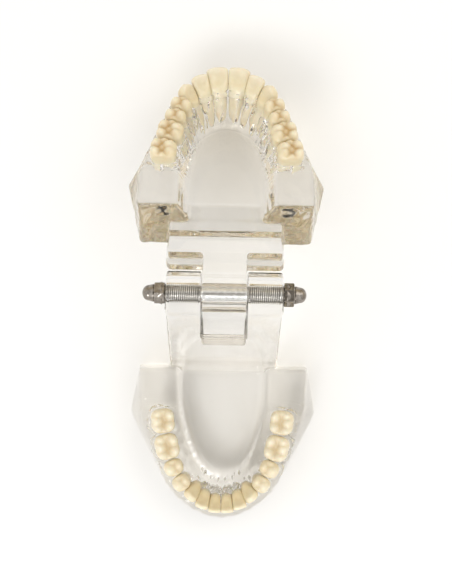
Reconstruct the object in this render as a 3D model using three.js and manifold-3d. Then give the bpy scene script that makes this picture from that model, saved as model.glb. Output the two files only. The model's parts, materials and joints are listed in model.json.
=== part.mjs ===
// Articulated dental demonstration model, opened flat on a table.
// Two clear resin jaws carry 28 separate ivory teeth and turn on a threaded stud with dome nuts.
//
// Units are millimetres, +Z is up and the table is z = 0.
// Each jaw is drawn in its own frame: x sideways, y forward from the hinge axis, and z from the
// hinge axis towards the biting edges. The lower jaw then faces -Y, and the upper jaw is folded
// back over the hinge until the front of its base leans on the table.

import * as THREE from "three";
import { mergeVertices } from "three/addons/utils/BufferGeometryUtils.js";
import Module from "manifold-3d";

const wasm = await Module();
wasm.setup();

// Driving dimensions of the whole model
const HINGE_HEIGHT = 56;
const HINGE_TO_BITE = 29;
const OPEN_TILT = THREE.MathUtils.degToRad(37.3);
const GUM_BELOW_BITE = 8;
const CLEARANCE = 0.3;

// Hinge
const KNUCKLE_RADIUS = 7;
const ARM_HALF_WIDTH = 22.3;
const SIDE_GAP = 0.1;
const CENTRE_KNUCKLE_HALF = 8.6;
const NOTCH_HALF = 9;
const NOTCH_WEB = [[-12, -9.3], [5.8, -9.6], [12, -18.2], [17.9, -28.6]];
const PLATE_CORNER = 2.5;
const STUD_RADIUS = 2.5;
const STUD_LENGTH = 55.2;
const WASHER_RADIUS = 3.6;
const WASHER_THICKNESS = 0.4;
const NUT_ACROSS_FLATS = 8;
const NUT_HEX_LENGTH = 4;
const NUT_DOME_RADIUS = 3.6;
const NUT_TIP_RADIUS = 3;
const NUT_TIP_LENGTH = 2.5;
const NUT_LENGTH = 8.7;
const NUT_BORE_DEPTH = 5;

// Lower jaw
const LOWER = {
  bite: -HINGE_TO_BITE,
  bottom: -HINGE_HEIGHT,
  floor: -45,
  outerBottom: { corner: [36.4, 32.2], wide: [40.2, 53], slant: [27.6, 78.4], front: 97.5 },
  outerTop: { corner: [35.2, 32.2], wide: [33.8, 50], slant: [24.6, 77], front: 94.8 },
  innerBottom: { back: [17.4, 20], side: [16.8, 46], front: 77 },
  innerTop: { back: [19.5, 20], side: [18.8, 47], front: 79.4 },
  notchReach: 17.9,
  arch: { halfWidth: 24.8, depth: 49.8, centre: 40.4, power: 0.92 },
};

// Upper jaw
const UPPER = {
  bite: HINGE_TO_BITE,
  bottom: -5,
  floor: 13,
  outerBottom: { corner: [34.4, 28.6], wide: [41.4, 59], slant: [31, 72.6], front: 85.6 },
  outerTop: { corner: [34.2, 27.2], wide: [34.4, 44], slant: [25.4, 77], front: 93.4 },
  innerBottom: { back: [15.8, 20], side: [15.3, 46], front: 76.6 },
  innerTop: { back: [19.4, 20], side: [19.6, 47], front: 83.6 },
  plateBottom: -7,
  plateBottomHalfWidth: 23.7,
  plateTop: 5,
  ledge: 24.1,
  ledgeTop: 8,
  palateStart: 33,
  notchReach: 16.4,
  arch: { halfWidth: 24.4, depth: 51.8, centre: 42.4, power: 0.93 },
};

// Each tooth: width along the arch, depth across it, crown height, root length, lean of the
// crown outwards in degrees, and how far its biting edge stands outside the arch's centre line.
const UPPER_TEETH = [
  { name: "central_incisor", kind: "incisor", width: 8.9, depth: 7, crown: 10, root: 14.5, lean: 24, out: 1.5 },
  { name: "lateral_incisor", kind: "incisor", width: 7.3, depth: 6.2, crown: 9, root: 14.5, lean: 21, out: 1.2 },
  { name: "canine", kind: "canine", width: 8.4, depth: 7.8, crown: 9.6, root: 15.5, lean: 14, out: 2.1 },
  { name: "first_premolar", kind: "premolar", width: 7, depth: 9, crown: 8.4, root: 12, lean: 6, out: 0.1 },
  { name: "second_premolar", kind: "premolar", width: 6.8, depth: 9, crown: 8.2, root: 12, lean: 5, out: -0.1 },
  { name: "first_molar", kind: "molar", width: 10.2, depth: 11, crown: 8, root: 11, lean: 4, out: 0 },
  { name: "second_molar", kind: "molar", width: 9.8, depth: 10.8, crown: 8, root: 10.5, lean: 4, out: 1.2 },
];
const LOWER_TEETH = [
  { name: "central_incisor", kind: "incisor", width: 5.2, depth: 5.9, crown: 9, root: 11, lean: 18, out: 0.6 },
  { name: "lateral_incisor", kind: "incisor", width: 5.6, depth: 6.2, crown: 9, root: 11, lean: 16, out: 0.6 },
  { name: "canine", kind: "canine", width: 6.4, depth: 7.4, crown: 9.8, root: 11.5, lean: 10, out: 0.4 },
  { name: "first_premolar", kind: "premolar", width: 7, depth: 7.8, crown: 8.6, root: 11, lean: 2, out: 0.2 },
  { name: "second_premolar", kind: "premolar", width: 7.2, depth: 8.4, crown: 8.2, root: 11, lean: -4, out: 0 },
  { name: "first_molar", kind: "molar", width: 11, depth: 10.3, crown: 8, root: 11, lean: -7, out: 0 },
  { name: "second_molar", kind: "molar", width: 10.5, depth: 10, crown: 8, root: 10.5, lean: -8, out: 0 },
];

// Sections of each kind of tooth. height: -1 at the root's tip, 0 at the neck, 1 at the biting
// edge. width is a share of the tooth's width; cheek and tongue are shares of its depth, measured
// from the root's axis. square is the exponent of the section's superellipse.
const SECTIONS = {
  incisor: [
    { height: -1, width: 0, cheek: 0, tongue: 0, square: 2 },
    { height: -0.93, width: 0.28, cheek: 0.16, tongue: -0.16, square: 2 },
    { height: -0.5, width: 0.58, cheek: 0.34, tongue: -0.36, square: 2 },
    { height: 0, width: 0.78, cheek: 0.44, tongue: -0.46, square: 2.2 },
    { height: 0.3, width: 0.88, cheek: 0.47, tongue: -0.42, square: 2.4 },
    { height: 0.72, width: 0.98, cheek: 0.42, tongue: -0.06, square: 2.8 },
    { height: 1, width: 0.92, cheek: 0.3, tongue: 0.08, square: 3 },
    { height: 1, width: 0, cheek: 0.19, tongue: 0.19, square: 3 },
  ],
  canine: [
    { height: -1, width: 0, cheek: 0, tongue: 0, square: 2 },
    { height: -0.93, width: 0.26, cheek: 0.18, tongue: -0.18, square: 2 },
    { height: -0.5, width: 0.58, cheek: 0.36, tongue: -0.38, square: 2 },
    { height: 0, width: 0.76, cheek: 0.45, tongue: -0.47, square: 2.1 },
    { height: 0.35, width: 0.88, cheek: 0.48, tongue: -0.42, square: 2.3 },
    { height: 0.74, width: 0.96, cheek: 0.42, tongue: -0.1, square: 2.4 },
    { height: 0.97, width: 0.34, cheek: 0.26, tongue: 0.02, square: 2.4 },
    { height: 1, width: 0, cheek: 0.14, tongue: 0.14, square: 2.4 },
  ],
  premolar: [
    { height: -1, width: 0, cheek: 0, tongue: 0, square: 2 },
    { height: -0.93, width: 0.26, cheek: 0.2, tongue: -0.2, square: 2 },
    { height: -0.5, width: 0.52, cheek: 0.34, tongue: -0.34, square: 2 },
    { height: 0, width: 0.7, cheek: 0.43, tongue: -0.43, square: 2.2 },
    { height: 0.45, width: 0.98, cheek: 0.5, tongue: -0.49, square: 2.5 },
    { height: 0.86, width: 0.9, cheek: 0.41, tongue: -0.39, square: 2.6 },
    { height: 1, width: 0.6, cheek: 0.28, tongue: -0.26, square: 2.4 },
    { height: 0.82, width: 0, cheek: 0, tongue: 0, square: 2.4 },
  ],
  molar: [
    { height: -1, width: 0, cheek: 0, tongue: 0, square: 2 },
    { height: -0.93, width: 0.44, cheek: 0.28, tongue: -0.28, square: 2.2 },
    { height: -0.5, width: 0.66, cheek: 0.38, tongue: -0.38, square: 2.4 },
    { height: 0, width: 0.8, cheek: 0.44, tongue: -0.44, square: 2.6 },
    { height: 0.45, width: 0.98, cheek: 0.5, tongue: -0.5, square: 2.8 },
    { height: 0.86, width: 0.93, cheek: 0.43, tongue: -0.43, square: 3 },
    { height: 1, width: 0.7, cheek: 0.32, tongue: -0.32, square: 2.8 },
    { height: 0.8, width: 0, cheek: 0, tongue: 0, square: 2.8 },
  ],
};
const TOOTH_SIDES = 12;
const FAN = 0.45;
// How much of the arch's turn each front tooth follows
const TURN = { incisor: 0.6, canine: 0.85, premolar: 1, molar: 1 };

const assembly = new THREE.Group();

function material(colour, roughness, metalness, opacity = 1) {
  const settings = { color: colour, roughness, metalness, opacity, transparent: opacity < 1 };
  return new THREE.MeshStandardMaterial(settings);
}

const clearResin = () => material(0xf3f1ea, 0.06, 0, 0.35);
const ivory = () => material(0xeee0bb, 0.3, 0);
const steel = () => material(0xa8a49c, 0.25, 0.95);

// Solids: three.js geometry to and from manifold-3d

function toSolid(geometry) {
  const bare = geometry.clone();
  bare.deleteAttribute("normal");
  bare.deleteAttribute("uv");
  const welded = mergeVertices(bare, 1e-4);
  const vertProperties = new Float32Array(welded.attributes.position.array);
  const triVerts = new Uint32Array(welded.index.array);
  return new wasm.Manifold(new wasm.Mesh({ numProp: 3, vertProperties, triVerts }));
}

function toGeometry(solid) {
  const mesh = solid.getMesh();
  const geometry = new THREE.BufferGeometry();
  geometry.setAttribute("position", new THREE.BufferAttribute(mesh.vertProperties, 3));
  geometry.setIndex(new THREE.BufferAttribute(mesh.triVerts, 1));
  geometry.computeVertexNormals();
  return geometry;
}

function addPart(parent, name, geometry, look) {
  const mesh = new THREE.Mesh(geometry, look);
  mesh.name = name;
  parent.add(mesh);
  return mesh;
}

// A bar along x with the given radius, centred on the hinge axis
function bar(radius, length, sides, centre = 0) {
  const geometry = new THREE.CylinderGeometry(radius, radius, length, sides);
  geometry.rotateZ(Math.PI / 2);
  geometry.translate(centre, 0, 0);
  return geometry;
}

// Jaw bodies

// Right half of an outline in plan, from the back corner round to the middle of the front
function outerHalf({ corner, wide, slant, front }) {
  const start = new THREE.Vector2(...slant);
  const along = start.clone().sub(new THREE.Vector2(...wide));
  const curve = new THREE.CubicBezierCurve(
    start,
    start.clone().addScaledVector(along, 0.33),
    new THREE.Vector2(start.x * 0.42, front),
    new THREE.Vector2(0, front),
  );
  return [new THREE.Vector2(...corner), new THREE.Vector2(...wide), ...curve.getPoints(7)];
}

function innerHalf({ back, side, front }) {
  const curve = new THREE.CubicBezierCurve(
    new THREE.Vector2(...side),
    new THREE.Vector2(side[0] * 0.86, side[1] + 16),
    new THREE.Vector2(side[0] * 0.58, front),
    new THREE.Vector2(0, front),
  );
  return [new THREE.Vector2(...back), ...curve.getPoints(7)];
}

function mirrored(half) {
  const left = half.slice(0, -1).reverse().map((point) => new THREE.Vector2(-point.x, point.y));
  return [...half, ...left];
}

// A block whose bottom and top outlines differ, both with the same number of points
function taperedBlock(bottomLoop, topLoop, bottom, top) {
  const shape = new THREE.Shape(bottomLoop);
  const geometry = new THREE.ExtrudeGeometry(shape, { depth: top - bottom, bevelEnabled: false });
  const place = geometry.attributes.position;
  const here = new THREE.Vector2();
  for (let i = 0; i < place.count; i++) {
    const isTop = place.getZ(i) > (top - bottom) / 2;
    here.set(place.getX(i), place.getY(i));
    const corner = bottomLoop.findIndex((point) => point.distanceTo(here) < 1e-3);
    const target = isTop ? topLoop[corner] : bottomLoop[corner];
    place.setXYZ(i, target.x, target.y, isTop ? top : bottom);
  }
  return geometry;
}

function jawBlock(jaw) {
  const crest = jaw.bite - GUM_BELOW_BITE;
  const outerBottom = mirrored(outerHalf(jaw.outerBottom));
  const outerTop = mirrored(outerHalf(jaw.outerTop));
  const block = toSolid(taperedBlock(outerBottom, outerTop, jaw.bottom, crest));
  const innerBottom = mirrored(innerHalf(jaw.innerBottom));
  const innerTop = mirrored(innerHalf(jaw.innerTop));
  return block.subtract(toSolid(taperedBlock(innerBottom, innerTop, jaw.floor, crest + 0.01)));
}

function extrusion(outline, depth) {
  const points = outline.map(([across, along]) => new THREE.Vector2(across, along));
  return new THREE.ExtrudeGeometry(new THREE.Shape(points), { depth, bevelEnabled: false });
}

// A solid with the same side view, given as (forward, up) points, all across its width
function sideExtrusion(outline, halfWidth) {
  const geometry = extrusion(outline, 2 * halfWidth);
  // The drawing plane (forward, up) becomes (y, z), and the extrusion runs along x
  const turn = new THREE.Matrix4().makeBasis(
    new THREE.Vector3(0, 1, 0),
    new THREE.Vector3(0, 0, 1),
    new THREE.Vector3(1, 0, 0),
  );
  geometry.applyMatrix4(turn);
  geometry.translate(-halfWidth, 0, 0);
  return toSolid(geometry);
}

// The lower arm runs from the hinge barrel down to the base
function lowerArm() {
  const front = [
    [5.9, 3.8], [12, -5], [18, -14.5], [25, -27], [31, -38], [34.5, -46], [40, -50],
  ];
  const rear = [
    [36, -56], [28.5, -56], [26.6, -52], [22.2, -42.8], [16.3, -31.9], [9.5, -19.8], [3.4, -11.4],
    [-2.2, -6.6],
  ];
  return sideExtrusion([...front, ...rear], ARM_HALF_WIDTH);
}

// Each outer knuckle runs back into a sloping heel
function knuckleHeel() {
  const outline = [[0, -6.9], [0, 5], [-4.5, 5.36], [-8.6, 1.9], [-8.6, -2.4], [-2.2, -6.6]];
  return sideExtrusion(outline, ARM_HALF_WIDTH);
}

function lowerJawSolid() {
  const barrel = toSolid(bar(KNUCKLE_RADIUS, 2 * ARM_HALF_WIDTH, 24));
  const reach = LOWER.notchReach;
  // The notch leaves a thin web along the back of the arm
  const notch = sideExtrusion([...NOTCH_WEB, [reach, 20], [-12, 20]], NOTCH_HALF);
  const arm = lowerArm().add(barrel).add(knuckleHeel()).subtract(notch);
  const bore = toSolid(bar(STUD_RADIUS + CLEARANCE, 60, 16));
  return jawBlock(LOWER).add(arm).subtract(bore);
}

// A flat plate from the hinge, with a low step and a slope up to the palate
function upperArm() {
  const { bottom, plateBottom, plateTop, ledge, ledgeTop, palateStart, floor } = UPPER;
  const { plateBottomHalfWidth } = UPPER;
  const outline = [
    [0, plateBottom], [ledge - 2, plateBottom], [ledge + 2, bottom], [palateStart + 1, bottom],
    [palateStart + 1, floor], [palateStart, floor], [ledge, ledgeTop], [ledge, plateTop],
    [0, plateTop],
  ];
  let arm = sideExtrusion(outline, plateBottomHalfWidth).intersect(plateDraft());
  for (const side of [1, -1]) {
    arm = arm.subtract(plateNotch(side));
  }
  return arm;
}

// The plate's sides spread a little towards its underside
function plateDraft() {
  const { plateBottom, plateTop, plateBottomHalfWidth } = UPPER;
  const right = [
    [plateBottomHalfWidth, plateBottom], [ARM_HALF_WIDTH, plateTop], [ARM_HALF_WIDTH, 30],
  ];
  const left = right.map(([across, up]) => [-across, up]).reverse();
  const geometry = extrusion([...right, ...left], 60);
  geometry.rotateX(Math.PI / 2);
  geometry.translate(0, 50, 0);
  return toSolid(geometry);
}

// The space beside the centre knuckle, whose far outer corner leaves the plate rounded
function plateNotch(side) {
  const outside = UPPER.plateBottomHalfWidth + 1;
  const reach = UPPER.notchReach;
  const plan = [[CENTRE_KNUCKLE_HALF, -1], [outside, -1], [outside, reach + PLATE_CORNER]];
  for (let step = 0; step <= 3; step++) {
    const angle = (Math.PI / 6) * step;
    plan.push([
      UPPER.plateBottomHalfWidth - PLATE_CORNER * (1 - Math.cos(angle)),
      reach + PLATE_CORNER * (1 - Math.sin(angle)),
    ]);
  }
  plan.push([CENTRE_KNUCKLE_HALF, reach]);
  const geometry = extrusion(plan, 40);
  geometry.translate(0, 0, -20);
  const solid = toSolid(geometry);
  return side > 0 ? solid : solid.mirror([1, 0, 0]);
}

// The palate's floor falls towards the plate, between the same inner walls
function palateSlope() {
  const { ledge, ledgeTop, palateStart, floor } = UPPER;
  const above = [[ledge, ledgeTop], [palateStart, floor], [palateStart, floor + 1], [ledge, floor + 1]];
  const walls = mirrored(innerHalf(UPPER.innerBottom));
  const between = toSolid(taperedBlock(walls, walls, ledgeTop - 1, floor + 0.01));
  return sideExtrusion(above, ARM_HALF_WIDTH).intersect(between);
}

function upperJawSolid() {
  const barrel = toSolid(bar(KNUCKLE_RADIUS, 2 * CENTRE_KNUCKLE_HALF, 24));
  const bore = toSolid(bar(STUD_RADIUS + CLEARANCE, 30, 16));
  return jawBlock(UPPER).subtract(palateSlope()).add(upperArm()).add(barrel).subtract(bore);
}

// Teeth

// A point of the arch, a half ellipse made a little squarer by a power below 1
function archAt(arch, angle) {
  return new THREE.Vector2(
    arch.halfWidth * Math.sin(angle) ** arch.power,
    arch.centre + arch.depth * Math.cos(angle) ** arch.power,
  );
}

// The arch at a distance along it from the front, and the direction out of it
function archPoint(arch, distance) {
  const stride = Math.PI / 800;
  let angle = 0;
  let travelled = 0;
  let before = archAt(arch, 0);
  let place = before;
  while (travelled < distance) {
    angle += stride;
    before = place;
    place = archAt(arch, angle);
    travelled += place.distanceTo(before);
  }
  const outward = new THREE.Vector2(before.y - place.y, place.x - before.x).normalize();
  return { place, outward };
}

// The tooth's frame in its jaw: x along the arch, y outwards, z up through the biting edge
function toothFrame(tooth, arch, distance, side, bite) {
  const { place, outward } = archPoint(arch, distance);
  const lean = THREE.MathUtils.degToRad(tooth.lean);
  const isBack = tooth.kind === "molar" || tooth.kind === "premolar";
  const fan = isBack ? 1 : FAN;
  const leanTo = new THREE.Vector2(outward.x * fan, outward.y).normalize();
  const up = new THREE.Vector3(
    side * leanTo.x * Math.sin(lean),
    leanTo.y * Math.sin(lean),
    Math.cos(lean),
  );
  const out = new THREE.Vector3(side * outward.x * TURN[tooth.kind], outward.y, 0);
  out.addScaledVector(up, -out.dot(up)).normalize();
  const along = new THREE.Vector3().crossVectors(out, up);
  const frame = new THREE.Matrix4().makeBasis(along, out, up);
  frame.setPosition(
    side * (place.x + outward.x * tooth.out),
    place.y + outward.y * tooth.out,
    bite,
  );
  return frame;
}

// A lathe turned about the root's axis, with each ring pressed into the tooth's own section.
// grow widens every ring, which gives the socket that the tooth stands in.
function toothGeometry(tooth, sections, grow = 0) {
  const profile = sections.map((section) => new THREE.Vector2(section.width, section.height));
  const geometry = new THREE.LatheGeometry(profile, TOOTH_SIDES);
  const place = geometry.attributes.position;
  const edge = SECTIONS[tooth.kind][SECTIONS[tooth.kind].length - 1];
  const edgeShift = ((edge.cheek + edge.tongue) / 2) * tooth.depth;
  for (let i = 0; i < place.count; i++) {
    const section = sections[i % sections.length];
    const turn = (2 * Math.PI * Math.floor(i / sections.length)) / TOOTH_SIDES;
    const onAxis = section.width === 0;
    const halfWidth = onAxis ? 0 : (section.width * tooth.width - CLEARANCE) / 2 + grow;
    const halfDepth = onAxis ? 0 : ((section.cheek - section.tongue) * tooth.depth) / 2 + grow;
    const middle = ((section.cheek + section.tongue) / 2) * tooth.depth;
    const power = 2 / section.square;
    const across = Math.sin(turn);
    const outward = Math.cos(turn);
    const length = section.height < 0 ? tooth.root : tooth.crown;
    const sink = section.height < -0.9 ? grow : 0;
    place.setXYZ(
      i,
      -Math.sign(across) * Math.abs(across) ** power * halfWidth,
      middle + Math.sign(outward) * Math.abs(outward) ** power * halfDepth - edgeShift,
      -tooth.crown + section.height * length - sink,
    );
  }
  return geometry;
}

// The socket follows the root, then opens straight up past the crown
function socketSections(kind) {
  const sections = SECTIONS[kind];
  const below = sections.filter((section) => section.height <= 0.3);
  const mouth = { height: 1.3, width: 1, cheek: 0.5, tongue: -0.5, square: 2.6 };
  return [...below, mouth, { ...mouth, width: 0, cheek: 0, tongue: 0 }];
}

function addTeeth(jawGroup, jawSolid, jaw, teeth, jawName, rightSign) {
  let solid = jawSolid;
  for (const [sideName, side] of [["right", rightSign], ["left", -rightSign]]) {
    let distance = 0;
    for (const tooth of teeth) {
      const frame = toothFrame(tooth, jaw.arch, distance + tooth.width / 2, side, jaw.bite);
      distance += tooth.width;
      const geometry = toothGeometry(tooth, SECTIONS[tooth.kind]);
      const mesh = addPart(jawGroup, `${jawName}_${sideName}_${tooth.name}`, geometry, ivory());
      mesh.applyMatrix4(frame);
      const socket = toothGeometry(tooth, socketSections(tooth.kind), CLEARANCE);
      socket.applyMatrix4(frame);
      solid = solid.subtract(toSolid(socket));
    }
  }
  addPart(jawGroup, `${jawName}_jaw`, toGeometry(solid), clearResin());
}

// Hinge hardware

function ring(outer, inner, length, sides) {
  return toSolid(bar(outer, length, sides)).subtract(toSolid(bar(inner, length + 2, sides)));
}

// A dome nut with its seat at x = 0, its dome towards +x, and a blind bore open at the seat
function domeNut() {
  const hexRadius = NUT_ACROSS_FLATS / Math.sqrt(3);
  const hex = toSolid(bar(hexRadius, NUT_HEX_LENGTH, 6, NUT_HEX_LENGTH / 2));
  const profile = [
    new THREE.Vector2(0, 1),
    new THREE.Vector2(NUT_DOME_RADIUS, 1),
    new THREE.Vector2(NUT_DOME_RADIUS, NUT_HEX_LENGTH),
  ];
  // The sides taper a little, then turn over into a round tip
  for (let step = 0; step <= 4; step++) {
    const angle = ((Math.PI / 2) * step) / 4;
    profile.push(
      new THREE.Vector2(
        step === 4 ? 0 : NUT_TIP_RADIUS * Math.cos(angle),
        NUT_LENGTH - NUT_TIP_LENGTH * (1 - Math.sin(angle)),
      ),
    );
  }
  const dome = new THREE.LatheGeometry(profile, 16);
  dome.rotateZ(-Math.PI / 2);
  const bore = toSolid(bar(STUD_RADIUS + CLEARANCE, 2 * NUT_BORE_DEPTH, 16));
  return hex.add(toSolid(dome)).subtract(bore);
}

function addHardware(lowerGroup) {
  addPart(lowerGroup, "hinge_stud", bar(STUD_RADIUS, STUD_LENGTH, 16), steel());
  const washerCentre = ARM_HALF_WIDTH + SIDE_GAP + WASHER_THICKNESS / 2;
  const nutSeat = washerCentre + WASHER_THICKNESS / 2 + SIDE_GAP;
  const washer = ring(WASHER_RADIUS, STUD_RADIUS + CLEARANCE, WASHER_THICKNESS, 16);
  const nut = domeNut();
  // The lower jaw faces -Y, so its own +x is the model's right-hand side
  for (const [sideName, side] of [["right", 1], ["left", -1]]) {
    const washerPart = addPart(lowerGroup, `${sideName}_washer`, toGeometry(washer), steel());
    washerPart.position.x = side * washerCentre;
    const nutPart = addPart(lowerGroup, `${sideName}_dome_nut`, toGeometry(nut), steel());
    nutPart.position.x = side * nutSeat;
    nutPart.rotation.z = side > 0 ? 0 : Math.PI;
  }
}

// Assembly

const lowerGroup = new THREE.Group();
lowerGroup.position.z = HINGE_HEIGHT;
lowerGroup.rotation.z = Math.PI;

const upperGroup = new THREE.Group();
upperGroup.position.z = HINGE_HEIGHT;
upperGroup.rotation.x = -OPEN_TILT;

assembly.add(lowerGroup, upperGroup);
addTeeth(lowerGroup, lowerJawSolid(), LOWER, LOWER_TEETH, "lower", 1);
addTeeth(upperGroup, upperJawSolid(), UPPER, UPPER_TEETH, "upper", -1);
addHardware(lowerGroup);

// The origin is under the middle of the whole model
const middle = new THREE.Box3().setFromObject(assembly, true).getCenter(new THREE.Vector3());
assembly.position.y = -middle.y;

export default assembly;
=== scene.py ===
"""Clear dental demonstration model, opened flat on a table.

Two clear resin jaws hold 28 ivory teeth in air-gapped sockets and turn on a threaded stud.
The organic shapes are signed distance fields, meshed with OpenVDB; lengths inside the fields
are millimetres in each jaw's own frame: x sideways, u forward from the hinge, w towards the
biting edges. Meshes are placed in the row frame in metres.
"""

import json
import math

import bmesh
import bpy
import numpy as np
import openvdb as vdb
from mathutils import Matrix, Vector


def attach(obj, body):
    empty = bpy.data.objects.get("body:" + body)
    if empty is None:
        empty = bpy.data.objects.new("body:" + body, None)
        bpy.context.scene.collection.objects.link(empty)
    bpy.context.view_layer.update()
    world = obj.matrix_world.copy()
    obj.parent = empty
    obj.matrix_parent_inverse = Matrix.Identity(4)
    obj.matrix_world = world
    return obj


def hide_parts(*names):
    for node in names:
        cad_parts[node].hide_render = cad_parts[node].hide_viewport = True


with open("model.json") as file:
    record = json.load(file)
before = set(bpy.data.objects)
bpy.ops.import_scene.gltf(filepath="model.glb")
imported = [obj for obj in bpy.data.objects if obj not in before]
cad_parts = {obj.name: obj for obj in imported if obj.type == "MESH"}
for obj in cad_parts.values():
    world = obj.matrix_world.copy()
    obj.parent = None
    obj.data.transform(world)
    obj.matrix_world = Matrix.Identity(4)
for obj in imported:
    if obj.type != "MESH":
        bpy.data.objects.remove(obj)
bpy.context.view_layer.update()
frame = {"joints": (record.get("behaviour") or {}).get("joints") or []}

# Lengths below are millimetres unless they say otherwise
MM = 0.001

# Whole model
HINGE_JOINT = next(joint for joint in frame["joints"] if joint["name"] == "jaw_hinge")
HINGE = Vector(HINGE_JOINT["pos_m"])
OPEN_TILT = math.radians(37.3)
BITE = 29.0
GUM_BELOW_BITE = 8.0

# Hinge
KNUCKLE_RADIUS = 7.0
ARM_HALF_WIDTH = 22.3
CENTRE_KNUCKLE_HALF = 8.6
NOTCH_HALF = 9.0
PLATE_CORNER = 2.5
PLATE_BOTTOM_HALF = 23.7
STUD_RADIUS = 2.5
STUD_HALF_LENGTH = 27.6
STUD_PITCH = 0.8
STUD_SIDES = 32
THREAD_ROOT = 2.05
THREAD_CREST = STUD_RADIUS - 0.02
# Height of the thread above its root, as a share, at equal steps round one turn
THREAD_PROFILE = (1.0, 1.0, 0.5, 0.0, 0.0, 0.0, 0.5, 1.0)
THREAD_RUN_OUT = 0.6
SMOOTH_HALF = 8.8
RUNNING_BORE = 2.75
NUT_ACROSS_FLATS = 8.0
NUT_HEX_LENGTH = 4.0
NUT_LENGTH = 8.7
NUT_DOME_RADIUS = 3.6
NUT_TIP_RADIUS = 3.0
NUT_TIP_LENGTH = 2.5
NUT_BORE_DEPTH = 5.0
NUT_BORE_GAP = 0.15
NUT_CHAMFER = 0.45
NUT_SEAT_CHAMFER = 0.4
NUT_CHAMFER_SLOPE = 1.7
NUT_GROOVE_RADIUS = 0.3
NUT_SEAT = 22.9
# The right nut has an edge on top, the left one a flat
NUT_TWIST = {"right": math.radians(31), "left": math.radians(3)}
WASHER_CENTRE = 22.6
WASHER_RADIUS = 3.6
WASHER_BORE_RADIUS = 2.75
WASHER_HALF_THICKNESS = 0.2
WASHER_BEVEL = 0.06
WASHER_SIDES = 64

# Unevenness of the castings
WAVE_HEIGHT = 0.05
FLUTE_HEIGHT = 0.14

# Finest detail of each kind of field
JAW_STEP = 0.42
TOOTH_STEP = 0.27
NUT_STEP = 0.14

# Teeth in their sockets
TOOTH_GAP = 0.08
SOCKET_GAP = 0.2
MIDLINE_CONTACT = 0.18
COLLAR_THICKNESS = 1.15

# How much of each socket clings to its root, from -1, hardly any, to 1, nearly all
WETTED_BIAS = 0.75
LOWER_FRONT_BIAS = -0.8

# Each jaw: the heights of its biting plane, base and floor, the plans of its outer and inner walls
# at the base and at the crest of the gum, and the arch along which its teeth stand
LOWER = {
    "bite": -BITE,
    "bottom": -56.0,
    "floor": -45.0,
    "outer_bottom": {
        "corner": (36.4, 32.2), "wide": (40.2, 53), "slant": (27.6, 78.4), "front": 97.5,
    },
    "outer_top": {
        "corner": (35.2, 32.2), "wide": (33.8, 50), "slant": (24.6, 77), "front": 94.8,
    },
    "inner_bottom": {"back": (17.4, 10), "side": (16.8, 46), "front": 77},
    "inner_top": {"back": (19.5, 10), "side": (18.8, 47), "front": 79.4},
    "arch": {"half_width": 24.8, "depth": 49.8, "centre": 40.4, "power": 0.92},
}
UPPER = {
    "bite": BITE,
    "bottom": -5.0,
    "floor": 13.0,
    "outer_bottom": {
        "corner": (34.4, 28.6), "wide": (41.4, 59), "slant": (31, 72.6), "front": 85.6,
    },
    "outer_top": {
        "corner": (34.2, 27.2), "wide": (34.4, 44), "slant": (25.4, 77), "front": 93.4,
    },
    "inner_bottom": {"back": (15.8, 10), "side": (15.3, 46), "front": 76.6},
    "inner_top": {"back": (19.4, 10), "side": (19.6, 47), "front": 83.6},
    "arch": {"half_width": 24.4, "depth": 51.8, "centre": 42.4, "power": 0.93},
}

# Side views of the two arms, as places forward from the hinge and heights above it
LOWER_ARM_FRONT = [(5.9, 3.8), (12, -5), (18, -14.5), (25, -27), (31, -38), (34.5, -46), (40, -50)]
LOWER_ARM_REAR = [
    (36, -56), (28.5, -56), (26.6, -52), (22.2, -42.8), (16.3, -31.9), (9.5, -19.8), (3.4, -11.4),
    (-2.2, -6.6),
]
KNUCKLE_HEEL = [(0, -6.9), (0, 5), (-4.5, 5.36), (-8.6, 1.9), (-8.6, -2.4), (-2.2, -6.6)]
LOWER_NOTCH = [(-12, -9.3), (5.8, -9.6), (12, -18.2), (17.9, -28.6), (17.9, 20), (-12, 20)]
UPPER_NOTCH_REACH = 16.4
UPPER_PLATE_BOTTOM = -7.0
UPPER_PLATE_TOP = 5.0
UPPER_LEDGE = 24.1
UPPER_LEDGE_TOP = 8.0
PALATE_START = 33.0
PALATE_SLOPE = 5.0 / 8.9
UPPER_ARM = [
    (0, UPPER_PLATE_BOTTOM), (UPPER_LEDGE - 2, UPPER_PLATE_BOTTOM),
    (UPPER_LEDGE + 2, UPPER["bottom"]), (PALATE_START + 1, UPPER["bottom"]),
    (PALATE_START + 1, UPPER["floor"]), (PALATE_START, UPPER["floor"]),
    (UPPER_LEDGE, UPPER_LEDGE_TOP), (UPPER_LEDGE, UPPER_PLATE_TOP), (0, UPPER_PLATE_TOP),
]


def tooth_row(name, kind, width, depth, crown, root, lean, out):
    return {
        "name": name, "kind": kind, "width": width, "depth": depth,
        "crown": crown, "root": root, "lean": lean, "out": out,
    }


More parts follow.
